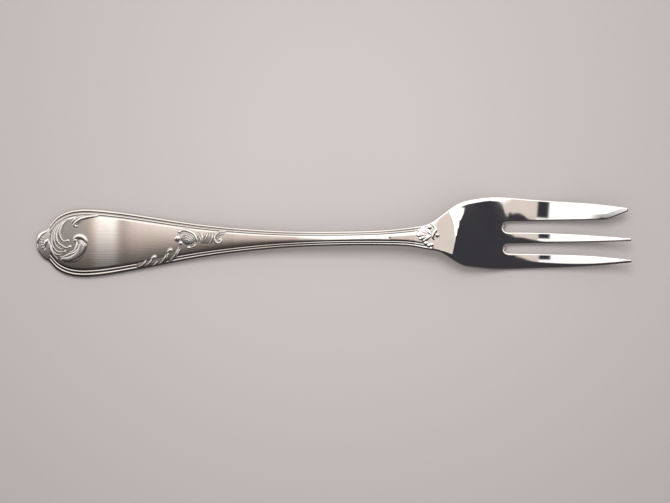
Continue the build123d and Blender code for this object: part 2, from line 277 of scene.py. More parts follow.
    def top(self, s: Array, y: Array) -> Array:
        """Height of the smooth top.

        The ridge's height with the apron's bend, less a crown that falls with the square of y over the half
        width. The tines lean to the plain side. Along the head's outer edges a shoulder falls away with the
        square of the distance that is left to the edge.

        Args:
            s: places along the fork.
            y: places across it.

        Returns:
            Height at each place.
        """
        half = self.upper(np.clip(s, CREST_END, NECK_END))
        crown = np.interp(s, *np.array(self.crowns).T)
        height = self.ridge(s) + self.bend(s, y) - crown * (y / half) ** 2
        height = height + self.lean * (y - ORIGIN_Y) * ramp(s, *self.lean_grows)
        reach, fall = self.shoulder
        widens = ramp(s, *self.lower_widens)
        narrows = 1 - self.lower_loss * ramp(s, *self.lower_narrows)
        lower_reach = self.lower_least + (reach - self.lower_least) * widens * narrows
        upper_fade = ramp(s, *self.upper_starts) * (1 - ramp(s, *self.upper_ends))
        for left, width, fade in (
            (self.upper(s) - y, reach * self.upper_share, upper_fade),
            (y - self.lower(s), lower_reach, ramp(s, *self.lower_starts)),
        ):
            height = height - fall * np.clip(1 - left / width, 0, 1) ** 2 * fade
        return height

    def bottom(self, s: Array) -> Array:
        """Height of the underside: flat rest, arch under the neck, heel, then the tines' rise.

        Args:
            s: places along the fork.

        Returns:
            Height at each place.
        """
        rise = hermite(s, (self.rest_end, 0.0), self.arch)
        fall = hermite(s, self.arch, (self.heel, 0.0))
        tines = hermite(s, (self.heel, 0.0), self.tip_under, self.tip_rise)
        return np.where(s < self.arch[0], rise, np.where(s < self.heel, fall, tines))

    def border_width(self, s: Array) -> Array:
        """Width of the whole border, which narrows in step with the blank's half width."""
        share = np.clip((self.upper(s) - self.border_halves[1]) / np.ptp(self.border_halves), 0, 1)
        return self.border_widths[1] + (self.border_widths[0] - self.border_widths[1]) * share

    def border_columns(self, shoulder: Array) -> Array:
        """Columns of a grid over the border, as shares of its width: both beads, then a given shoulder."""
        wave = both_dense(self.bead_columns)
        return np.concatenate([*(middle - half + 2 * half * wave for middle, half in self.beads), shoulder])

    def border(self, distance: Array, s: Array) -> tuple[Array, Array]:
        """Relief of the thread border.

        Two beads, each a parabola over its share of the border's width, with grooves between them, and then
        the panel's shoulder, half a parabola. The whole border leans outward.

        Args:
            distance: distance from the edge.
            s: places along the fork.

        Returns:
            Height to add to the smooth top, and how open to the light each place is, from 0 to 1, which the
            finish paints as shade.
        """
        width = self.border_width(s)
        u = distance / width
        outer, inner = (np.clip(1 - ((u - middle) / half) ** 2, 0, 1) for middle, half in self.beads)
        panel = 1 - np.clip((self.panel_edge[0] - u) / self.panel_edge[1], 0, 1) ** 2
        cap = np.maximum(np.maximum(outer, inner * self.inner_share), panel * self.panel_share)
        lean = self.border_lean * np.clip(width - distance, 0, None)
        # Painted shade, with tarnish in the grooves: the grooves between the beads are less open, so the
        # finish paints them darker.
        opened = np.clip(cap * self.open_gain + self.open_least, 0, 1)
        return (cap - 1) * self.bead_height * width - lean, opened


BLANK = Blank()


@dataclass(frozen=True)
class Stroke:
    """One raised strand of an ornament.

    It has its full width and height at the share `swell` of its path, and the share `ends` of them at both
    ends. `shade` is how open its top is to the light, which paints it darker as painted shade: from 0 for a
    ground in painted shade to 1.
    """

    points: Points
    width: float
    height: float = 0.4
    swell: float = 0.5
    ends: float = 0.15
    count: int = 40
    shade: float = 1.0


@dataclass
class Mesh:
    """Vertices and faces of one piece, surface by surface, with how open each vertex is to the light, which
    the finishes paint as shade.
    """

    vertices: list[Array] = field(default_factory=list)
    faces: list[tuple[int, ...]] = field(default_factory=list)
    openness: list[Array] = field(default_factory=list)
    edge_columns: int = 8
    middle_columns: int = 9
    strand_sides: int = 10
    strand_least: float = 0.001
    end_power: int = 14
    dome_sides: int = 24
    dome_rings: int = 8
    root_depth: float = 0.12
    open_gain: float = 1.7
    open_loss: float = 0.1
    sharp_angle: float = 48.0

    def add(self, vertices: Array, faces: list[tuple[int, ...]], openness: Array) -> None:
        """Adds one closed surface.

        Args:
            vertices: its places in s, y and z.
            faces: its faces, which count from its own first vertex.
            openness: how open each vertex is.
        """
        start = sum(len(block) for block in self.vertices)
        self.vertices.append(vertices)
        self.faces.extend(tuple(corner + start for corner in face) for face in faces)
        self.openness.append(openness)

    def opened(self, rise: Array) -> Array:
        """How open a raised form is at a share of its height: a straight line, held between 0 and 1."""
        return np.clip(rise * self.open_gain - self.open_loss, 0, 1)

    def slab(self, s: Array, y: Array, top: Array, under: Array, openness: Array) -> None:
        """A plate over a plan grid: an upper sheet, an underside with fewer columns, and walls between them.

        Args:
            s: grid of places along the fork, one row per station.
            y: grid of places across it.
            top: height of the upper sheet.
            under: height of the underside.
            openness: openness of the upper sheet.
        """
        rows, columns = s.shape
        side, end = min(self.edge_columns, columns // 4), columns - 1
        middle = np.linspace(side, end - side, self.middle_columns).astype(int)
        few = np.unique(np.r_[0:side:2, middle, end:end - side:-2])
        low = rows * columns
        upper = np.stack([s, y, top], axis=-1).reshape(-1, 3)
        lower = np.stack([s, y, under], axis=-1)[:, few].reshape(-1, 3)

        corner = np.arange(low).reshape(rows, columns)
        foot = low + np.arange(rows * len(few)).reshape(rows, len(few))
        faces = grid_faces(corner) + [face[::-1] for face in grid_faces(foot)]
        near = np.stack([foot[:-1, 0], foot[1:, 0], corner[1:, 0], corner[:-1, 0]], axis=1)
        far = np.stack([foot[1:, -1], foot[:-1, -1], corner[:-1, -1], corner[1:, -1]], axis=1)
        faces += [tuple(face) for face in np.concatenate([near, far]).tolist()]
        for place, (first, last) in enumerate(zip(few[:-1], few[1:])):
            back = [foot[0, place + 1], foot[0, place], *corner[0, first:last + 1]]
            front = [foot[-1, place], foot[-1, place + 1], *corner[-1, first:last + 1][::-1]]
            faces += [tuple(int(one) for one in back), tuple(int(one) for one in front)]
        opened = np.concatenate([openness.reshape(-1), np.ones(rows * len(few))])
        self.add(np.concatenate([upper, lower]), faces, opened)

    def strand(self, stroke: Stroke, sink: float) -> None:
        """A raised strand: half an ellipse carried along a smooth path, with its root inside the metal.

        From its thickest place it narrows in a quarter sine wave to each end, where a high power closes it.

        Args:
            stroke: the strand's path and sizes.
            sink: how far the metal under it lies below the smooth top.
        """
        path = through(stroke.points, stroke.count)
        floor = BLANK.top(*path.T) - sink
        share = np.linspace(0, 1, stroke.count)
        side = np.where(share < stroke.swell, share / stroke.swell, (1 - share) / (1 - stroke.swell))
        size = stroke.ends + (1 - stroke.ends) * np.sin(np.clip(side, 0, 1) * math.pi / 2)
        size = size * np.sqrt(1 - (np.abs(share - 0.5) * 2) ** self.end_power) + self.strand_least
        along = np.gradient(path, axis=0)
        along /= np.hypot(*along.T)[:, None]
        turn = np.linspace(0, math.pi, self.strand_sides + 1)
        out = np.concatenate([np.cos(turn), [-0.5, 0.5]])
        up = np.concatenate([np.sin(turn), [0.0, 0.0]])
        sunk = np.zeros(len(out))
        sunk[[0, -3, -2, -1]] = self.root_depth
        reach = out * (size * stroke.width / 2)[:, None]
        s = path[:, :1] - along[:, 1:] * reach
        y = path[:, 1:] + along[:, :1] * reach
        z = floor[:, None] + up * (size * stroke.height)[:, None] - sunk
        corner = np.arange(s.size).reshape(s.shape)
        faces = grid_faces(np.concatenate([corner, corner[:, :1]], axis=1))
        faces += [tuple(int(one) for one in corner[0]), tuple(int(one) for one in corner[-1, ::-1])]
        # Painted shade: each strand darkens toward its feet, and all over by its shade.
        opened = np.tile(self.opened(up) * stroke.shade, stroke.count)
        self.add(np.stack([s, y, z], axis=-1).reshape(-1, 3), faces, opened)

    def dome(self, centre: Pair, radius: float, height: float, sink: float = 0.0) -> None:
        """A bead: a quarter of an ellipse turned about an upright axis, closed below.

        Args:
            centre: place in s and y.
            radius: radius in plan.
            height: height over the metal.
            sink: how far the metal under it lies below the smooth top.
        """
        floor = float(BLANK.top(*np.array(centre))) - sink
        turn = np.linspace(0, 2 * math.pi, self.dome_sides + 1)[:-1]
        lift = np.linspace(0, math.pi / 2, self.dome_rings + 1)[:-1]
        reach = np.concatenate([[radius], radius * np.cos(lift)])
        rise = np.concatenate([[-self.root_depth], height * np.sin(lift)])
        s = centre[0] + reach[:, None] * np.cos(turn)
        y = centre[1] + reach[:, None] * np.sin(turn)
        z = floor + np.broadcast_to(rise[:, None], s.shape)
        rings = np.stack([s, y, z], axis=-1).reshape(-1, 3)
        corner = np.arange(s.size).reshape(s.shape)
        closed = np.concatenate([corner, corner[:, :1]], axis=1)
        faces = [face[::-1] for face in grid_faces(closed)]
        faces += [(int(one), int(other), s.size) for one, other in zip(closed[-1, :-1], closed[-1, 1:])]
        faces.append(tuple(int(one) for one in corner[0, ::-1]))
        # Painted shade: each bead darkens toward its foot.
        opened = np.repeat(self.opened(rise / height), s.shape[1])
        peak = np.array([[*centre, floor + height]])
        self.add(np.concatenate([rings, peak]), faces, np.append(opened, 1.0))

    def to_object(self, name: str) -> bpy.types.Object:
        """Puts the collected surfaces into one object at the frame's origin.

        Args:
            name: the piece's name.

        Returns:
            The new object, smooth but for its sharp edges.
        """
        places = np.concatenate(self.vertices)
        places = (places - np.array([ORIGIN_S, ORIGIN_Y, 0.0])) * MM
        mesh = bpy.data.meshes.new(name)
        mesh.from_pydata(places, [], self.faces)
        # The openness goes to the finishes, which paint shade by it.
        opened = mesh.attributes.new("openness", "FLOAT", "POINT")
        opened.data.foreach_set("value", np.concatenate(self.openness).astype(np.float32))
        mesh.shade_smooth()
        mesh.set_sharp_from_angle(angle=math.radians(self.sharp_angle))
        piece = bpy.data.objects.new(name, mesh)
        bpy.context.scene.collection.objects.link(piece)
        return piece


def grid_faces(corner: Array) -> list[tuple[int, ...]]:
    """Four-sided faces between the rows and columns of a grid of vertex numbers, rows first."""
    quads = np.stack([corner[:-1, :-1], corner[1:, :-1], corner[1:, 1:], corner[:-1, 1:]], axis=-1)
    return [tuple(face) for face in quads.reshape(-1, 4).tolist()]


def offset_grid(
    s: Array, low: Array, high: Array, offsets: Array, inner: int, most: float = 0.47,
) -> tuple[Array, Array, Array]:
    """Plan grid whose outer columns keep fixed distances from the edges.

    A step across is the distance times the edge's lean, which is the root of 1 plus its slope squared. The
    columns between the two sets share the rest of the width evenly.

    Args:
        s: stations along the fork.
        low: Y of the lower edge at each station.
        high: Y of the upper edge at each station.
        offsets: distances from the edges, one row per station.
        inner: number of columns between the two sets.
        most: the largest share of the width that one set may take.

    Returns:
        Grids of s, y and distance from the nearer edge.
    """
    room = most * (high - low)[:, None]
    offsets = offsets * np.minimum(1, room / offsets[:, -1:])
    lean = np.sqrt(1 + np.gradient(high, s) ** 2)[:, None]
    step = np.minimum(offsets * lean, np.maximum(offsets, room * offsets / offsets[:, -1:]))
    share = np.linspace(0, 1, inner + 2)[1:-1]
    left, right = low[:, None] + step, high[:, None] - step
    middle = left[:, -1:] + (right[:, -1:] - left[:, -1:]) * share
    y = np.concatenate([left, middle, right[:, ::-1]], axis=1)
    away = np.minimum(y - low[:, None], high[:, None] - y) / lean
    away[:, :offsets.shape[1]] = offsets
    away[:, -offsets.shape[1]:] = offsets[:, ::-1]
    return np.broadcast_to(s[:, None], y.shape), y, away


def edge_round(away: Array, radius: Array | float) -> Array:
    """How far a rounded edge falls: a quarter circle of that radius, by the distance from the edge."""
    inside = np.clip(radius - away, 0, radius)
    return radius - np.sqrt(np.maximum(radius**2 - inside**2, 0))


@dataclass
class Piece:
    """A piece of the fork that stands for the CAD node whose name it bears."""

    name: str
    slot: Slot

    def shape(self) -> Mesh:
        """Works out the piece's surfaces."""
        raise NotImplementedError

    def build(self, finishes: dict[str, bpy.types.Material], finish: str) -> bpy.types.Object:
        """Makes the piece, dresses it, hangs it on the root body and hides the CAD part of its name.

        Args:
            finishes: the materials by name.
            finish: which of them the piece wears.

        Returns:
            The piece's object.
        """
        piece = self.shape().to_object(f"silver_{self.name}")
        piece.data.materials.append(finishes[finish])
        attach(piece, "root")
        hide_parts(self.name)
        LOG.info("%s: %d faces", self.name, len(piece.data.polygons))
        return piece


@dataclass
class Strip(Piece):
    """A length of the blank with its thread border: the handle or the stem."""

    start: float = CREST_END
    end: float = STEM_START
    rows: int = 520
    inner: int = 40
    shoulder_columns: int = 6
    under_round: float = 0.3

    def shape(self) -> Mesh:
        """The crowned top with beads and grooves by the distance from the edge, over the flat underside.

        Returns:
            The strip's surfaces.
        """
        s = np.linspace(self.start, self.end, self.rows)
        panel, run = BLANK.panel_edge
        units = BLANK.border_columns(panel - run + run * start_dense(self.shoulder_columns))
        offsets = units * BLANK.border_width(s)[:, None]
        grid_s, y, away = offset_grid(s, BLANK.lower(s), BLANK.upper(s), offsets, self.inner)
        relief, opened = BLANK.border(away, grid_s)
        under = BLANK.bottom(grid_s) + edge_round(away, self.under_round)
        mesh = Mesh()
        mesh.slab(grid_s, y, BLANK.top(grid_s, y) + relief, under, opened)
        return mesh


@dataclass
class Crest(Piece):
    """The gadrooned crest that closes the handle's end; its outlines run over the square root of s."""

    upper: Points = (
        (0, 0.9), (0.28, 1.93), (0.76, 2.8), (1.04, 3.18), (1.45, 3.56), (1.72, 4.1), (1.844, 4.86),
    )
    lower: Points = (
        (0, 0.8), (0.28, -0.5), (0.57, -1.6), (1.04, -2.87), (1.45, -4.0), (1.76, -4.6), (1.844, -4.86),
    )
    rim: Stroke = Stroke(
        ((0.47, -0.2), (0.57, 1.0), (0.97, 2.0), (1.7, 2.6), (2.9, 3.1)), 1.2, 0.45, 0.4, 0.3, 36,
    )
    spine: Stroke = Stroke(((3.2, 1.22), (3.3, -0.3), (3.36, -1.8)), 0.5, 0.4, 0.4, 0.3, 36)
    leaf: Stroke = Stroke(((3.2, 1.22), (2.5, 0.5), (2.3, -0.3), (2.45, -1.0)), 1.0, 0.42, 0.4, 0.3, 36)
    gadroons: int = 6
    start: float = 0.02
    rows: int = 60
    inner: int = 50
    edge: float = 0.5
    edge_columns: int = 9
    nose_slope: float = 0.9
    # The plate's openness is below 1, so the finish paints the whole plate darker: painted shade.
    openness: float = 0.5
    plate_drop: float = 0.12
    top_round: float = 0.45
    under_round: float = 0.3
    sink: float = 0.16

    def shape(self) -> Mesh:
        """A rounded plate between two outlines, with gadroons that fan out from the spine to the rim.

        Returns:
            The crest's surfaces.
        """
        root = np.linspace(self.start, math.sqrt(CREST_END), self.rows)
        s = root**2
        high, low = Spline(self.upper)(root), Spline(self.lower)(root)
        offsets = np.tile(self.edge * start_dense(self.edge_columns), (self.rows, 1))
        grid_s, y, away = offset_grid(s, low, high, offsets, self.inner)
        away = np.minimum(away, grid_s * self.nose_slope)
        top = BLANK.top(grid_s, y) - self.plate_drop - edge_round(away, self.top_round)
        under = BLANK.bottom(grid_s) + edge_round(away, self.under_round)
        mesh = Mesh()
        mesh.slab(grid_s, y, top, under, np.full(y.shape, self.openness))
        fan = (self.gadroon(share) for share in np.linspace(0, 1, self.gadroons))
        for stroke in (self.rim, self.spine, self.leaf, *fan):
            mesh.strand(stroke, self.sink)
        return mesh

    def gadroon(self, share: float) -> Stroke:
        """One gadroon, from the rim to the spine.

        Its far end follows a parabola along the rim, and its middle bows a little to the cutting side.

        Args:
            share: its place, from 0 at the cutting side to 1 at the plain side.

        Returns:
            The gadroon's strand.
        """
        far = (0.75 + 3 * (share - 0.35) ** 2, 1.9 - 4.0 * share)
        near = (2.25 + 0.3 * abs(share - 0.5), 1.0 - 2.1 * share)
        middle = ((far[0] + near[0]) / 2, (far[1] + near[1]) / 2 + 0.08)
        return Stroke((far, middle, near), 0.46, 0.36, 0.4, 0.3, 36)


@dataclass
class NeckShell(Piece):
    """The neck with its shell of lobes, C-ridge and beads."""

    rows: int = 90
    inner: int = 40
    shoulder: tuple[float, ...] = (0.96, 1.0, 1.08, 1.2)
    border_fades: Pair = (96.5, 100.5)
    top_round: float = 0.4
    under_round: float = 0.3
    ridge: Stroke = Stroke((
        (99.4, 3.2), (100.35, 2.7), (100.75, 1.65), (100.25, 0.6), (100.05, -0.2), (100.5, -0.95),
    ), 1.05, 0.2, 0.5, 0.4)
    bead: Pair = (101.23, 0.33)
    bead_size: Pair = (0.64, 0.5)
    small_beads: Points = ((98.33, -1.66), (98.96, -2.2), (99.75, -2.05), (99.35, 2.35))
    small_size: Pair = (0.6, 0.22)
    base: Pair = (99.7, 0.4)
    lobes: tuple[Triple, ...] = (
        (143.0, 3.2, 1.4), (214.0, 2.9, 1.3), (160.0, 3.7, 1.6), (196.0, 3.5, 1.5), (178.0, 3.9, 1.7),
    )
    sink: float = 0.02

    def shape(self) -> Mesh:
        """The crowned neck, where the border fades out, with the shell's lobes fanned over it.

        Returns:
            The neck's surfaces.
        """
        s = np.linspace(STEM_END, NECK_END, self.rows)
        units = BLANK.border_columns(np.array(self.shoulder)) * BLANK.border_widths[1]
        offsets = np.tile(units, (self.rows, 1))
        grid_s, y, away = offset_grid(s, BLANK.lower(s), BLANK.upper(s), offsets, self.inner)
        relief, opened = BLANK.border(away, grid_s)
        fade = ramp(grid_s, *self.border_fades)
        plain = -edge_round(away, self.top_round)
        top = BLANK.top(grid_s, y) + relief * (1 - fade) + plain * fade
        under = BLANK.bottom(grid_s) + edge_round(away, self.under_round)
        mesh = Mesh()
        mesh.slab(grid_s, y, top, under, np.maximum(opened, fade))
        for lobe in self.lobes:
            mesh.strand(self.lobe(*lobe), self.sink)
        mesh.strand(self.ridge, self.sink)
        mesh.dome(self.bead, *self.bead_size)
        for place in self.small_beads:
            mesh.dome(place, *self.small_size)
        return mesh

    def lobe(self, angle: float, reach: float, width: float) -> Stroke:
        """One petal from the shell's base by the bead toward the stem, widest near its far end.

        Args:
            angle: its direction in degrees.
            reach: its length.
            width: its largest width.

        Returns:
            The petal's strand.
        """
        turn = math.radians(angle)
        tip = (self.base[0] + reach * math.cos(turn), self.base[1] + reach * math.sin(turn))
        return Stroke((self.base, tip), width, 0.14, 0.65, 0.35, 30)


@dataclass
class Head:
    """The head's outline: slots, tine edges and tips."""

    slot_centres: Pair = (2.08, -3.38)
    slot_radii: Pair = (1.26, 1.1)
    nose: float = 0.34
    edge: float = 0.38
    edge_share: float = 0.42
    bevel_start: float = 144.0
    bevel_round: float = 0.9
    cutting_end: float = TIP_END - 0.65
    cutting_tip: float = 5.5
    middle_upper: Points = ((119.2, 0.82), (124.6, 0.7), (130.0, 0.43), (142.2, -0.48), (150.0, -1.26))
    middle_lower: Points = ((119.2, -2.28), (130.0, -2.28), (139.2, -2.24), (150.0, -2.04))
    plain_inner: Points = ((119.2, -4.48), (130.0, -4.92), (142.2, -5.7), (150.0, -6.7))
    rolls: Triple = (0.0078, 0.0165, 0.0105)
    roll_grows: Pair = (117.9, 124.0)

    def oblique(self, s: Array) -> Array:
        """Y of the cutting tine's inner edge.

        Straight along the slot, then straight to the tip: one branch of a hyperbola, which makes the corner
        between the two soft.

        Args:
            s: places along the fork.

        Returns:
            Y at each place.
        """
        start = self.slot_centres[0] + self.slot_radii[0]
        past, last = s - self.bevel_start, self.cutting_end - self.bevel_start
        share = (past + np.hypot(past, self.bevel_round)) / (last + math.hypot(last, self.bevel_round))
        return start + (self.cutting_tip - start) * share

    def roll(self, s: Array, y: Array) -> Array:
        """How far each tine's top rolls down to the plain side.

        It falls with the square of the distance from the tine's upper edge.

        Args:
            s: places along the fork.
            y: places across it.

        Returns:
            The fall at each place, which grows from 0 at the slots' round ends.
        """
        tops = (BLANK.upper(s), Spline(self.middle_upper)(s), Spline(self.plain_inner)(s))
        cutting, middle, plain = (
            bend / 2 * np.clip(top - y, 0, None) ** 2 for bend, top in zip(self.rolls, tops)
        )
        inner = np.where(y > self.slot_centres[1], middle, plain)
        return np.where(y > self.slot_centres[0], cutting, inner) * ramp(s, *self.roll_grows)

    def edge_radius(self, s: Array) -> Array:
        """Radius of the edges, at most a little under half the metal's thickness."""
        return np.minimum(self.edge, self.edge_share * (BLANK.top(s, ORIGIN_Y) - BLANK.bottom(s)))


HEAD = Head()


@dataclass
class Palm(Piece):
    """The scooped palm, whose far edge holds the slots' round ends."""

    rows: int = 200
    crowding: float = 1.6
    passes: int = 8
    column_counts: tuple[int, ...] = (52, 38, 46, 40, 66)

    def shape(self) -> Mesh:
        """Columns run from the neck to the far edge or a slot's semicircle; edges fall in a quarter circle.

        Returns:
            The palm's surfaces.
        """
        spread = self.columns()
        end = np.full_like(spread, PALM_END)
        for _ in range(self.passes):
            y = self.across(end, spread)
            end = np.full_like(spread, PALM_END)
            for centre, radius in zip(HEAD.slot_centres, HEAD.slot_radii):
                end -= np.sqrt(np.clip(radius**2 - (y - centre) ** 2, 0, None))
        share = 1 - (1 - np.linspace(0, 1, self.rows)) ** self.crowding
        s = NECK_END + (end - NECK_END) * share[:, None]
        y = self.across(s, spread)
        fall = edge_round(self.distance(s, y), HEAD.edge_radius(s))
        top = BLANK.top(s, y) - HEAD.roll(s, y) - fall
        mesh = Mesh()
        mesh.slab(s, y, top, BLANK.bottom(s) + fall, np.ones(s.shape))
        return mesh

    def across(self, s: Array, share: Array) -> Array:
        """Y at a share of the width, from the plain side's edge to the cutting side's."""
        low, high = BLANK.lower(s), BLANK.upper(s)
        return low + (high - low) * share

    def columns(self) -> Array:
        """Works out the grid's columns: half a cosine wave over each span between edges and slots' sides.

        Returns:
            Shares of the width, dense at both ends of each span.
        """
        low, high = float(BLANK.lower(PALM_END)), float(BLANK.upper(PALM_END))
        marks = [low]
        for centre, radius in sorted(zip(HEAD.slot_centres, HEAD.slot_radii)):
            marks += [centre - radius, centre + radius]
        marks.append(high)
        spans = [
            first + (last - first) * both_dense(count)
            for first, last, count in zip(marks[:-1], marks[1:], self.column_counts)
        ]
        return (np.unique(np.concatenate(spans).round(6)) - low) / (high - low)

    def distance(self, s: Array, y: Array) -> Array:
        """Distance from the palm's outer edges and from the slots.

        The way across to an edge is divided by the edge's lean. A slot's distance is that from the centre of
        its round end, less its radius.

        Args:
            s: grid of places along the fork.
            y: grid of places across it.

        Returns:
            The distance from the nearest of them, at least 0.
        """
        lean = np.sqrt(1 + np.gradient(BLANK.upper(s[:, 0]), s[:, 0]) ** 2)
        away = np.minimum(BLANK.upper(s) - y, y - BLANK.lower(s)) / np.interp(s, s[:, 0], lean)
        for centre, radius in zip(HEAD.slot_centres, HEAD.slot_radii):
            away = np.minimum(away, np.hypot(s - PALM_END, y - centre) - radius)
        return np.maximum(away, 0)


@dataclass
class Tine(Piece):
    """One tine, from the palm to its rounded tip, between a lower and an upper edge.

    A cutting tine has a flat facet along its lower edge, whose slope is 0 on the other tines.
    """

    low: Edge
    high: Edge
    tip: float = TIP_END
    inner: int = 16
    facet_slope: float = 0.0
    facet_width: float = 1.5
    facet_grows: Pair = (138.0, 143.0)
    rows: int = 230
    nose_rows: int = 15
    edge_columns: int = 10

    def shape(self) -> Mesh:
        """A plate between two edges that close in quarter circles at the tip; its top rolls to one side.

        Returns:
            The tine's surfaces.
        """
        bow = self.tip - HEAD.nose
        straight = np.linspace(PALM_END, bow, self.rows)
        turn = np.linspace(0, math.pi / 2, self.nose_rows + 1)[1:]
        s = np.concatenate([straight, bow + HEAD.nose * np.sin(turn)])
        inset = HEAD.nose - np.sqrt(np.clip(HEAD.nose**2 - np.clip(s - bow, 0, None) ** 2, 0, None))
        low, high = self.low(s) + inset, self.high(s) - inset
        radius = HEAD.edge_radius(s)[:, None]
        grid_s, y, _ = offset_grid(s, low, high, radius * start_dense(self.edge_columns), self.inner)
        above = y - low[:, None]
        away = np.minimum(np.minimum(above, high[:, None] - y), self.tip - grid_s)
        fall = edge_round(np.maximum(away, 0), radius)
        facet = self.facet_slope * np.clip(self.facet_width - above, 0, None)
        facet = facet * ramp(grid_s, *self.facet_grows)
        top = BLANK.top(grid_s, y) - HEAD.roll(grid_s, y) - facet - fall
        mesh = Mesh()
        mesh.slab(grid_s, y, top, BLANK.bottom(grid_s) + fall, np.ones(y.shape))
        return mesh


@dataclass
class Relief(Piece):
    """An ornament on the panel, made of raised strands and beads."""

    strokes: tuple[Stroke, ...]
    beads: tuple[Triple, ...] = ()
    sink: float = 0.1
    bead_rise: float = 0.75

    def shape(self) -> Mesh:
        """Each strand is half an ellipse carried along its path, each bead a dome.

        Returns:
            The ornament's surfaces.
        """
        mesh = Mesh()
        for stroke in self.strokes:
            mesh.strand(stroke, self.sink)
        for s, y, radius in self.beads:
            mesh.dome((s, y), radius, radius * self.bead_rise, self.sink)
        return mesh


def ground(points: Points, width: float, shade: float = 0.3) -> Stroke:
    """The struck ground between the strands of an ornament: a low strand painted dark, as painted shade with
    tarnish on the ground.
    """
    return Stroke(points, width, 0.12, 0.5, 0.5, 40, shade)


def end_scroll() -> Relief:
    """The large C-scroll: a heavy body, a rolled head and fine strands along its inside.

    Returns:
        The scroll.
    """
    body = ((10.9, 1.0), (11.75, 0.2), (11.6, -1.2), (10.8, -2.6), (9.5, -3.55), (7.9, -4.0), (6.2, -3.8))
    head = ((9.6, 0.7), (10.05, 1.35), (11.09, 1.62), (12.0, 1.25), (12.55, 0.45), (12.7, -0.4))
    rim = (
        (12.85, -0.4), (12.3, -2.1), (11.6, -3.1), (10.3, -4.15), (9.0, -4.55), (7.0, -4.45), (5.9, -3.95),
    )
    inner = ((8.34, -2.15), (9.35, -2.06), (10.0, -1.39), (10.28, -0.51), (10.3, 0.3), (9.75, 0.5))
    strand = (
        (5.8, -3.3), (6.7, -3.4), (7.7, -3.15), (8.6, -2.75), (9.6, -2.4), (10.5, -1.6), (10.9, -0.6),
    )
    # The ground, the body and the rim have shades below 1, which paint them darker: painted shade, the
    # ground with tarnish.
    strokes = (
        ground(((11.2, 1.0), (11.4, -1.0), (10.2, -2.9), (8.4, -3.7), (6.0, -3.5)), 3.3),
        Stroke(body, 2.6, 0.5, 0.25, 0.4, 60, 0.4),
        Stroke(head, 1.7, 0.62, 0.45, 0.5, 60),
        Stroke(rim, 0.6, 0.3, 0.4, 0.3, 60, 0.55),
        Stroke(inner, 0.7, 0.6, 0.5, 0.3, 50),
        Stroke(strand, 0.75, 0.56, 0.5, 0.3, 50),
    )
    return Relief("end_scroll", Slot.POLISHED, strokes, ((9.95, 0.7, 0.55),))


def frond_spray() -> Relief:
    """Fronds that fall from the border and curl into the scroll's mouth.

    Returns:
        The fronds.
    """
    paths = (
        ((8.5, 6.15), (6.9, 4.84), (6.25, 3.34), (6.05, 2.21), (6.35, 1.12), (7.11, 0.5), (8.06, 0.69)),
        (
            (8.0, 6.0), (6.3, 4.6), (5.5, 3.03), (5.27, 1.34), (5.82, -0.1), (6.5, -0.6), (7.38, -1.1),
            (8.55, -0.89),
        ),
        ((7.5, 5.85), (5.65, 4.36), (4.8, 2.68), (4.65, 0.67), (5.15, -0.65), (5.97, -1.3), (6.9, -1.6)),
        (
            (7.0, 5.55), (5.1, 4.11), (4.2, 2.36), (4.0, 0.68), (4.35, -0.9), (5.2, -1.9), (6.2, -2.2),
            (7.2, -2.1),
        ),
        ((3.85, 0.0), (3.95, -1.2), (4.4, -2.3), (5.3, -2.8), (6.5, -2.75)),
        ((3.5, 0.7), (3.62, -0.7), (3.95, -2.0), (4.6, -3.1), (5.4, -4.1)),
    )
    widths = (0.851, 0.851, 0.759, 0.713, 0.644, 0.575)
    # The fronds' shade of 0.6 paints them darker, and their bed is painted dark: painted shade, the bed with
    # tarnish.
    strokes = tuple(Stroke(points, width, 0.58, 0.5, 0.45, 60, 0.6) for points, width in zip(paths, widths))
    bed = ground(((7.9, 5.9), (5.9, 4.0), (4.9, 1.6), (5.3, -0.6), (6.6, -2.0)), 3.0)
    beads = ((8.06, 0.62, 0.44), (8.55, -0.9, 0.46), (7.3, -2.05, 0.34))
    return Relief("frond_spray", Slot.POLISHED, (bed, *strokes), beads)


def side_curl() -> Relief:
    """The curled start of the inner thread.

    Returns:
        The curl.
    """
    curl = ((16.0, 6.75), (13.4, 6.55), (11.4, 6.05), (10.2, 5.3), (9.7, 4.6), (10.2, 4.2), (10.8, 4.5))
    leaf = ((12.4, 6.85), (10.9, 6.5), (9.8, 5.8), (9.0, 4.9))
    # The bed is a ground painted dark: painted shade with tarnish on the ground.
    bed = ground(((12.6, 6.1), (11.0, 5.4), (10.1, 4.5)), 1.7)
    strokes = (bed, Stroke(curl, 1.1, 0.6, 0.6, 0.5, 60), Stroke(leaf, 0.8, 0.66, 0.7, 0.3))
    return Relief("side_curl", Slot.POLISHED, strokes)


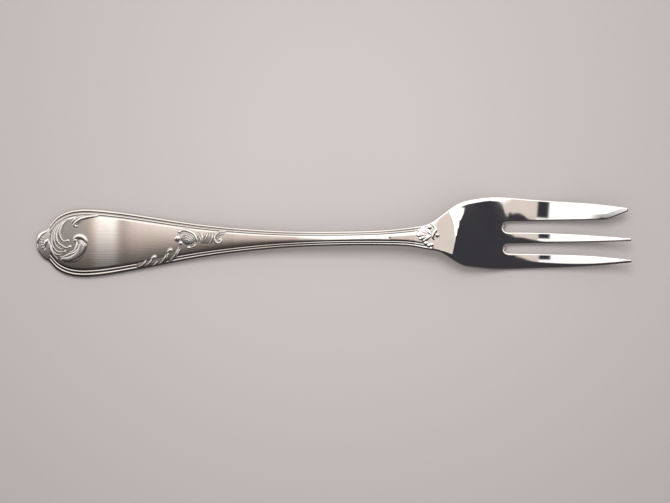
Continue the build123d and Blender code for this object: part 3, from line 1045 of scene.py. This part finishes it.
def edge_leaves() -> Relief:
    """Slanted leaves along the plain side's border, larger toward the stem: a blade painted dark, as painted
    shade, with a bright rib.

    Returns:
        The leaves.
    """
    paths = (
        ((25.3, -6.45), (26.8, -5.75), (27.9, -4.5)),
        ((27.2, -6.3), (28.4, -5.5), (29.3, -4.2)),
        ((29.2, -6.1), (30.1, -5.55), (30.75, -4.75)),
        ((30.6, -5.9), (32.0, -4.8), (32.95, -3.1)),
        ((32.6, -4.9), (33.2, -3.6), (33.5, -2.5)),
        ((33.3, -5.2), (34.9, -3.7), (36.1, -1.4)),
        ((34.9, -4.2), (35.8, -3.0), (36.5, -1.75)),
    )
    # The blades' shade of 0.12 paints them dark, as painted shade; the ribs keep the full colour.
    shaded_blades = tuple(Stroke(points, 0.9, 0.26, 0.6, 0.3, 40, 0.12) for points in paths)
    ribs = tuple(Stroke(points, 0.46, 0.56, 0.6, 0.3) for points in paths)
    tips = (
        Stroke(((29.1, -4.5), (29.75, -3.95), (30.4, -3.65)), 1.1, 0.72, 0.6, 0.6),
        Stroke(((33.2, -2.9), (33.75, -2.3), (34.5, -1.95)), 1.2, 0.76, 0.6, 0.6),
    )
    # The bed's shade of 0.1 paints it dark: painted shade with tarnish on the ground.
    bed = ground(((25.0, -6.1), (28.5, -5.4), (32.0, -4.4), (35.6, -2.6)), 2.0, 0.1)
    return Relief("edge_leaves", Slot.POLISHED, (bed, *shaded_blades, *ribs, *tips))


def leaf_spray() -> Relief:
    """Fan with ribs that follow its rim, leaves and a small scroll where the panel ends.

    Returns:
        The spray.
    """
    scroll = (
        (48.2, 2.1), (46.2, 2.0), (45.2, 0.6), (45.5, -0.45), (46.4, -0.6), (46.85, 0.15), (46.2, 0.75),
    )
    rim = ((36.2, 2.3), (37.45, 2.7), (38.78, 2.3), (39.92, 1.65), (40.45, 0.63), (40.8, -0.4))
    fan_s, fan_y = 38.1, -0.9
    leaves = (
        (((40.6, 2.2), (41.5, 1.95), (42.15, 0.9), (42.0, -0.15), (41.5, -1.0)), 0.66),
        (((40.9, 1.5), (41.5, 0.8), (41.55, -0.2), (41.2, -0.8)), 0.42),
        (((42.95, 2.3), (42.6, 1.3), (42.4, 0.4)), 0.5),
        (((43.65, 2.3), (43.1, 1.1), (42.55, -0.7)), 0.58),
        (((44.15, 2.2), (43.8, 0.9), (43.35, -0.4)), 0.42),
        (((44.85, 2.3), (44.65, 1.1), (44.15, -0.3), (43.6, -1.0)), 0.58),
    )
    # The fan's hatched field (shade 0.6) and the ground under the leaves are painted shade, the ground with
    # tarnish.
    strokes = [
        Stroke(((36.6, 1.2), (38.4, 0.9), (40.2, 0.1)), 4.0, 0.3, 0.5, 0.5, 40, 0.6),
        ground(((40.0, 0.5), (43.5, 0.5), (47.0, 1.0)), 2.9),
        Stroke(rim, 1.2, 0.5, 0.5, 0.5),
        Stroke(((38.9, -1.7), (39.92, -1.35), (40.55, -0.5)), 0.55, 0.5),
        Stroke(scroll, 0.75, 0.6, 0.4, 0.55, 60),
        Stroke(((46.0, 0.84), (46.5, 1.35), (47.9, 1.6)), 0.5, 0.5),
    ]
    strokes += [Stroke(points, width, 0.6, 0.5, 0.35) for points, width in leaves]
    # The fan's ribs have a shade of 0.8: painted shade.
    for share in (0.84, 0.68, 0.52, 0.36):
        arc = tuple((fan_s + share * (s - fan_s), fan_y + share * (y - fan_y)) for s, y in rim)
        strokes.append(Stroke(arc, 0.62, 0.48, 0.5, 0.4, 40, 0.8))
    beads = (
        (35.81, 0.72, 1.0), (36.55, -0.5, 0.6), (36.3, 2.35, 0.55), (38.63, -1.65, 0.5), (46.45, 0.2, 0.45),
    )
    return Relief("leaf_spray", Slot.POLISHED, tuple(strokes), beads)


@dataclass
class Shader:
    """A tree of shader nodes in the making."""

    tree: bpy.types.NodeTree

    def feed(self, node: bpy.types.Node, inputs: dict) -> None:
        """Fills a node's inputs.

        Args:
            node: the node.
            inputs: a socket to link or a value to set, by the input's name or number.
        """
        for name, value in inputs.items():
            if isinstance(value, Socket):
                self.tree.links.new(value, node.inputs[name])
            else:
                node.inputs[name].default_value = value

    def add(self, kind: str, inputs: dict, **settings: str) -> bpy.types.Node:
        """Adds a node.

        Args:
            kind: its type, without the words that every shader node's type begins with.
            inputs: a socket to link or a value to set, by the input's name or number.
            settings: the node's own settings.

        Returns:
            The new node.
        """
        node = self.tree.nodes.new(f"ShaderNode{kind}")
        for name, value in settings.items():
            setattr(node, name, value)
        self.feed(node, inputs)
        return node

    def tones(self, share: Socket, stops: Stops) -> Socket:
        """A colour that changes with a share.

        Args:
            share: the share, from 0 to 1.
            stops: rising shares with the colour at each.

        Returns:
            The socket with the colour.
        """
        node = self.add("ValToRGB", {"Fac": share})
        marks = node.color_ramp.elements
        marks[0].position, marks[1].position = stops[0][0], stops[-1][0]
        marks[0].color, marks[1].color = (*stops[0][1], 1.0), (*stops[-1][1], 1.0)
        for place, colour in stops[1:-1]:
            marks.new(place).color = (*colour, 1.0)
        return node.outputs["Color"]

    def panels(self, place: Socket, stops: Stops) -> Socket:
        """A colour that changes along one axis, from places within half a metre with the colour at each."""
        share = self.add("MapRange", {"Value": place, "From Min": -0.5, "From Max": 0.5}).outputs["Result"]
        return self.tones(share, tuple((at + 0.5, colour) for at, colour in stops))

    def steps(self, place: Socket, stops: Points) -> Socket:
        """A grey that changes along one axis, from places within half a metre with the grey at each."""
        return self.panels(place, tuple((at, (grey, grey, grey)) for at, grey in stops))

    def maths(self, operation: str, one: Socket, other: Socket | float) -> Socket:
        """The result of one operation on two sockets, or on a socket and a number."""
        return self.add("Math", {0: one, 1: other}, operation=operation).outputs["Value"]

    def blend(
        self, share: Socket | float, under: Socket | Triple, over: Socket | Triple, kind: str = "MIX",
    ) -> Socket:
        """One colour laid over another.

        Args:
            share: how much of the upper colour shows.
            under: the lower colour.
            over: the upper colour.
            kind: how the two are mixed.

        Returns:
            The socket with the mixed colour.
        """
        lower, upper = ((*one, 1.0) if isinstance(one, tuple) else one for one in (under, over))
        inputs = {"Factor": share, "A": lower, "B": upper}
        return self.add("Mix", inputs, data_type="RGBA", blend_type=kind).outputs["Result"]


def new_material(name: str) -> tuple[bpy.types.Material, Shader]:
    """Makes a material.

    Args:
        name: the material's name.

    Returns:
        The material with its first surface, and its tree of nodes.
    """
    made = bpy.data.materials.new(name)
    made.use_nodes = True
    return made, Shader(made.node_tree)


@dataclass(frozen=True)
class Silver:
    """A silver finish: bright metal whose colour is painted darker where its openness to the light is low
    (painted shade, with tarnish in the hollows), with polishing lines along the fork.
    """

    name: str
    colour: Triple
    shade_and_tarnish: Triple
    roughness: float
    recess_roughness: float
    line_depth: float
    line_stretch: Triple
    wear: float
    bright_from: float = 0.7
    cloud_scale: float = 180.0
    patina: float = 0.4

    def material(self) -> bpy.types.Material:
        """Makes the material.

        Returns:
            A metal whose colour follows the openness of each place as painted shade, and whose surface
            carries fine lines.
        """
        made, paint = new_material(self.name)
        place = paint.add("TexCoord", {}).outputs["Object"]
        opened = paint.add("Attribute", {}, attribute_name="openness").outputs["Fac"]
        # Painted shade: the colour falls toward the shade-and-tarnish colour where a place is less open to
        # the light.
        tone = paint.tones(opened, ((0.0, self.shade_and_tarnish), (self.bright_from, self.colour)))
        cloud = paint.add("TexNoise", {"Vector": place, "Scale": self.cloud_scale, "Detail": 3.0}).outputs
        rough = paint.add("MapRange", {
            "Value": cloud["Fac"],
            "To Min": self.roughness * (1 - self.wear),
            "To Max": self.roughness * (1 + self.wear),
        }).outputs["Result"]
        matt = paint.add("Mix", {"Factor": opened, "A": self.recess_roughness, "B": rough}).outputs["Result"]
        stretch = paint.add("Mapping", {"Vector": place, "Scale": self.line_stretch}).outputs["Vector"]
        lines = paint.add("TexNoise", {"Vector": stretch, "Scale": 1.0, "Detail": 5.0}).outputs["Fac"]
        bump = paint.add("Bump", {"Height": lines, "Strength": 1.0, "Distance": self.line_depth})
        paint.feed(made.node_tree.nodes["Principled BSDF"], {
            "Metallic": 1.0,
            "Base Color": paint.blend(self.wear * self.patina, tone, cloud["Color"], "MULTIPLY"),
            "Roughness": matt,
            "Normal": bump.outputs["Normal"],
        })
        return made


# The second colour of each finish is its painted shade, with tarnish in the hollows, for places that are not
# open to the light.
FINISHES = (
    Silver(
        "satin_panel", (0.8, 0.755, 0.72), (0.3, 0.27, 0.25), roughness=0.085, recess_roughness=0.085,
        line_depth=7.0e-6, line_stretch=(40.0, 5200.0, 5200.0), wear=0.25,
    ),
    Silver(
        "satin_stem", (0.86, 0.82, 0.79), (0.3, 0.27, 0.25), roughness=0.07, recess_roughness=0.07,
        line_depth=3.0e-6, line_stretch=(40.0, 5200.0, 5200.0), wear=0.25,
    ),
    Silver(
        "struck_relief", (0.9, 0.865, 0.835), (0.2, 0.178, 0.165), roughness=0.26, recess_roughness=0.26,
        line_depth=4.0e-6, line_stretch=(900.0, 900.0, 900.0), wear=0.3,
    ),
    Silver(
        "mirror", (0.93, 0.91, 0.895), (0.6, 0.56, 0.53), roughness=0.035, recess_roughness=0.42,
        line_depth=5.0e-7, line_stretch=(60.0, 2600.0, 2600.0), wear=0.3,
    ),
)


@dataclass
class Studio:
    """The table, the light tent painted over it, the lamp and the camera, in metres."""

    table_half: float = 1.5
    tent_half: float = 5.0
    tent_height: float = 0.4
    handle_slant: float = 0.35
    lamp_place: Triple = (0.02, 0.27, 0.66)
    lamp_tilt: float = -22.0
    lamp_size: float = 0.34
    lamp_power: float = 3.2
    camera_height: float = 0.8
    camera_place: Pair = (0.00042, -0.00392)
    camera_roll: float = -1.03
    sensor: float = 36.0
    view_width: float = 0.1689
    view_level: float = 0.003

    def sheet(
        self, finish: bpy.types.Material, name: str, half: float, height: float, face: tuple[int, ...],
    ) -> bpy.types.Object:
        """A level square.

        Args:
            finish: its material.
            name: its name.
            half: half its side.
            height: its height.
            face: the order of its corners, which says which way it faces.

        Returns:
            The square's object.
        """
        mesh = bpy.data.meshes.new(name)
        corners = [(x * half, y * half, height) for x, y in ((-1, -1), (1, -1), (1, 1), (-1, 1))]
        mesh.from_pydata(corners, [], [face])
        mesh.materials.append(finish)
        return self.link(bpy.data.objects.new(name, mesh))

    def table(self) -> bpy.types.Object:
        """A matt table top, painted a little darker away from the middle: a painted falloff of the lamp's
        light.

        Returns:
            The table's object.
        """
        made, paint = new_material("table_paper_painted_falloff")
        place = paint.add("TexCoord", {}).outputs["Object"]
        # Painted light: the table's colour falls from the middle outward, a painted falloff of the lamp's
        # light.
        far = paint.add("VectorMath", {0: place, 1: (0.0, 0.02, 0.0)}, operation="DISTANCE").outputs["Value"]
        tone = paint.tones(far, ((0.02, (0.5, 0.47, 0.464)), (0.13, (0.37, 0.348, 0.345))))
        paint.feed(
            made.node_tree.nodes["Principled BSDF"],
            {"Base Color": tone, "Roughness": 0.9, "Specular IOR Level": 0.1},
        )
        top = self.sheet(made, "table", self.table_half, 0.0, (0, 1, 2, 3))
        top.visible_glossy = False
        return top

    def tent(self) -> bpy.types.Object:
        """The tent: a glowing sheet over the fork that only the metal sees.

        Returns:
            The tent's object.
        """
        made, paint = new_material("tent_panels")
        made.node_tree.nodes.clear()
        place = paint.add("TexCoord", {}).outputs["Object"]
        split = paint.add("SeparateXYZ", {"Vector": place}).outputs
        roof = self.roof(paint, split["X"], split["Y"])
        glow = paint.add("Emission", {"Color": self.backdrop(paint, place, split["Y"], roof)})
        paint.add("OutputMaterial", {"Surface": glow.outputs["Emission"]})
        sheet = self.sheet(made, "tent", self.tent_half, self.tent_height, (0, 3, 2, 1))
        sheet.visible_camera = False
        sheet.visible_diffuse = False
        sheet.visible_shadow = False
        sheet.visible_transmission = False
        return sheet

    def roof(self, paint: Shader, x: Socket, y: Socket) -> Socket:
        """The tent over the fork.

        White and pink panels stand side by side along the fork. Over the handle they darken along a slant,
        and over the head toward the plain side. Past an edge that follows a table over y the roof is dark.
        A black card hangs before the head, and a white flare lies beyond the cutting side.

        Args:
            paint: the tent's nodes.
            x: place along the fork.
            y: place across it.

        Returns:
            The socket with the colour.
        """
        white, cream, pink = (1.5, 1.47, 1.43), (1.05, 1.02, 0.98), (0.8, 0.7, 0.64)
        black, dark = (0.035, 0.033, 0.036), (0.045, 0.043, 0.05)
        along = paint.panels(x, (
            (-0.30, (0.25, 0.23, 0.22)), (-0.125, (0.34, 0.315, 0.3)), (-0.105, (0.62, 0.52, 0.465)),
            (-0.094, (0.75, 0.65, 0.59)), (-0.088, cream), (-0.081, cream), (-0.075, white), (0.034, white),
            (0.0345, pink), (0.49, pink),
        ))
        far = paint.steps(x, ((0.086, 0), (0.092, 1)))
        cutting = paint.steps(y, ((-0.002, 0), (0.0, 1)))
        flash = paint.blend(paint.maths("MULTIPLY", far, cutting), along, white)

        head = paint.steps(x, ((-0.07, 0), (-0.062, 1)))
        level = paint.maths("SUBTRACT", y, paint.maths("MULTIPLY", x, self.handle_slant))
        over_handle = paint.steps(level, (
            (-0.3, 0.08), (-0.06, 0.12), (-0.03, 0.2), (0.0, 0.45), (0.0235, 0.69), (0.05, 0.98),
            (0.078, 1.2), (0.12, 1.35),
        ))
        over_head = paint.steps(y, ((-0.1, 0.12), (-0.07, 0.3), (-0.056, 0.5), (-0.041, 0.85), (-0.03, 1.0)))
        shade = paint.blend(1.0, flash, paint.blend(head, over_handle, over_head), "MULTIPLY")

        # A ramp holds no value below 0, so the table is stored with a lift that the comparison takes off.
        lift = 0.2
        table = (
            (-0.09, -0.1), (-0.072, -0.06), (-0.066, -0.02), (-0.056, 0.0), (-0.049, 0.01), (-0.046, 0.028),
            (-0.0378, 0.05), (-0.0238, 0.072), (-0.0204, 0.076), (-0.0155, 0.095), (-0.0114, 0.1),
            (-0.0085, 0.13), (-0.0068, 0.18), (-0.0015, 0.19), (0.0005, 0.3), (0.03, 0.31),
        )
        edge = paint.steps(y, tuple((at, start + lift) for at, start in table))
        past = paint.steps(paint.maths("SUBTRACT", x, edge), ((-lift, 0), (0.006 - lift, 1)))
        gloom = paint.panels(x, ((0.44, dark), (0.49, (0.3, 0.275, 0.265))))
        deep = paint.blend(past, shade, gloom)

        card = paint.steps(x, ((0.0148, 0), (0.0154, 1), (0.0338, 1), (0.0344, 0)))
        short = paint.steps(y, ((-0.0385, 0), (-0.0375, 1), (0.03, 1), (0.031, 0)))
        held = paint.blend(paint.maths("MULTIPLY", card, short), deep, black)
        handle_flare = paint.steps(level, ((0.15, 0), (0.165, 1)))
        head_flare = paint.steps(y, ((0.018, 0), (0.022, 1)))
        return paint.blend(paint.blend(head, handle_flare, head_flare), held, white)

    def backdrop(self, paint: Shader, place: Socket, y: Socket, roof: Socket) -> Socket:
        """The tent far beyond the cutting side: an even backdrop, which the metal shows to oblique views.

        Args:
            paint: the tent's nodes.
            place: place in the tent.
            y: place across the fork.
            roof: the colour over the fork.

        Returns:
            The socket with the colour.
        """
        away = paint.add("VectorMath", {0: place}, operation="LENGTH").outputs["Value"]
        fifth = paint.maths("MULTIPLY", away, 0.2)
        distant = paint.steps(fifth, ((0.12, 0), (0.16, 1)))
        beyond = paint.steps(y, ((0.05, 0), (0.2, 1)))
        tone = paint.panels(fifth, (
            (0.12, (1.3, 1.27, 1.24)), (0.17, (0.9, 0.87, 0.85)), (0.25, (0.64, 0.61, 0.59)),
            (0.42, (0.6, 0.57, 0.55)),
        ))
        return paint.blend(paint.maths("MULTIPLY", distant, beyond), roof, tone)

    def lamp(self) -> None:
        """A soft lamp on the cutting side, which throws the shadow toward the plain side."""
        light = bpy.data.lights.new("key", "AREA")
        light.shape = "SQUARE"
        light.size = self.lamp_size
        light.energy = self.lamp_power
        light.color = (1.0, 0.97, 0.95)
        lamp = self.link(bpy.data.objects.new("key", light))
        lamp.location = self.lamp_place
        lamp.rotation_euler = (math.radians(self.lamp_tilt), 0, 0)
        lamp.visible_glossy = False

    def sky(self) -> None:
        """Even light from all sides, pinkish where the metal mirrors it."""
        world = bpy.data.worlds.new("sky")
        world.use_nodes = True
        paint = Shader(world.node_tree)
        place = paint.add("TexCoord", {}).outputs["Generated"]
        across = paint.add("SeparateXYZ", {"Vector": place}).outputs["Y"]
        mirrored = paint.panels(across, ((-0.2, (0.1, 0.09, 0.085)), (0.2, (0.62, 0.56, 0.53))))
        glossy = paint.add("LightPath", {}).outputs["Is Glossy Ray"]
        colour = paint.blend(glossy, (0.72, 0.70, 0.70), mirrored)
        paint.feed(world.node_tree.nodes["Background"], {"Color": colour})
        bpy.context.scene.world = world

    def camera(self) -> None:
        """A long lens straight above the fork."""
        lens = bpy.data.cameras.new("camera")
        lens.sensor_width = self.sensor
        lens.lens = self.sensor * (self.camera_height - self.view_level) / self.view_width
        lens.clip_start = 0.01
        eye = self.link(bpy.data.objects.new("camera", lens))
        eye.location = (*self.camera_place, self.camera_height)
        eye.rotation_euler = (0, 0, math.radians(self.camera_roll))
        bpy.context.scene.camera = eye

    def link(self, thing: bpy.types.Object) -> bpy.types.Object:
        """Puts an object into the scene."""
        bpy.context.scene.collection.objects.link(thing)
        return thing

    def build(self) -> None:
        """Sets up the table, the tent, the lamp, the sky, the camera and the plain view."""
        self.table()
        self.tent()
        self.lamp()
        self.sky()
        self.camera()
        bpy.context.scene.view_settings.view_transform = "Standard"


def main() -> None:
    """Builds the fork piece by piece, then the studio."""
    logging.basicConfig(level=logging.INFO, format="%(message)s")
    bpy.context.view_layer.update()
    finishes = {finish.name: finish.material() for finish in FINISHES}
    cutting = (HEAD.oblique, BLANK.upper, HEAD.cutting_end, 60, 0.05)
    middle = (Spline(HEAD.middle_lower), Spline(HEAD.middle_upper))
    plain = (BLANK.lower, Spline(HEAD.plain_inner))
    pieces: tuple[tuple[Piece, str], ...] = (
        (Crest("end_crest", Slot.POLISHED), "struck_relief"),
        (Strip("handle", Slot.SATIN), "satin_panel"),
        (Strip("stem", Slot.SATIN, STEM_START, STEM_END, 480, 24), "satin_stem"),
        (NeckShell("neck_shell", Slot.POLISHED), "mirror"),
        (end_scroll(), "struck_relief"),
        (frond_spray(), "struck_relief"),
        (side_curl(), "struck_relief"),
        (edge_leaves(), "struck_relief"),
        (leaf_spray(), "struck_relief"),
        (Palm("palm", Slot.POLISHED), "mirror"),
        (Tine("cutting_tine", Slot.POLISHED, *cutting), "mirror"),
        (Tine("middle_tine", Slot.POLISHED, *middle), "mirror"),
        (Tine("plain_tine", Slot.POLISHED, *plain), "mirror"),
    )
    for piece, finish in pieces:
        piece.build(finishes, finish)
    Studio().build()


if __name__ == "__main__":
    main()
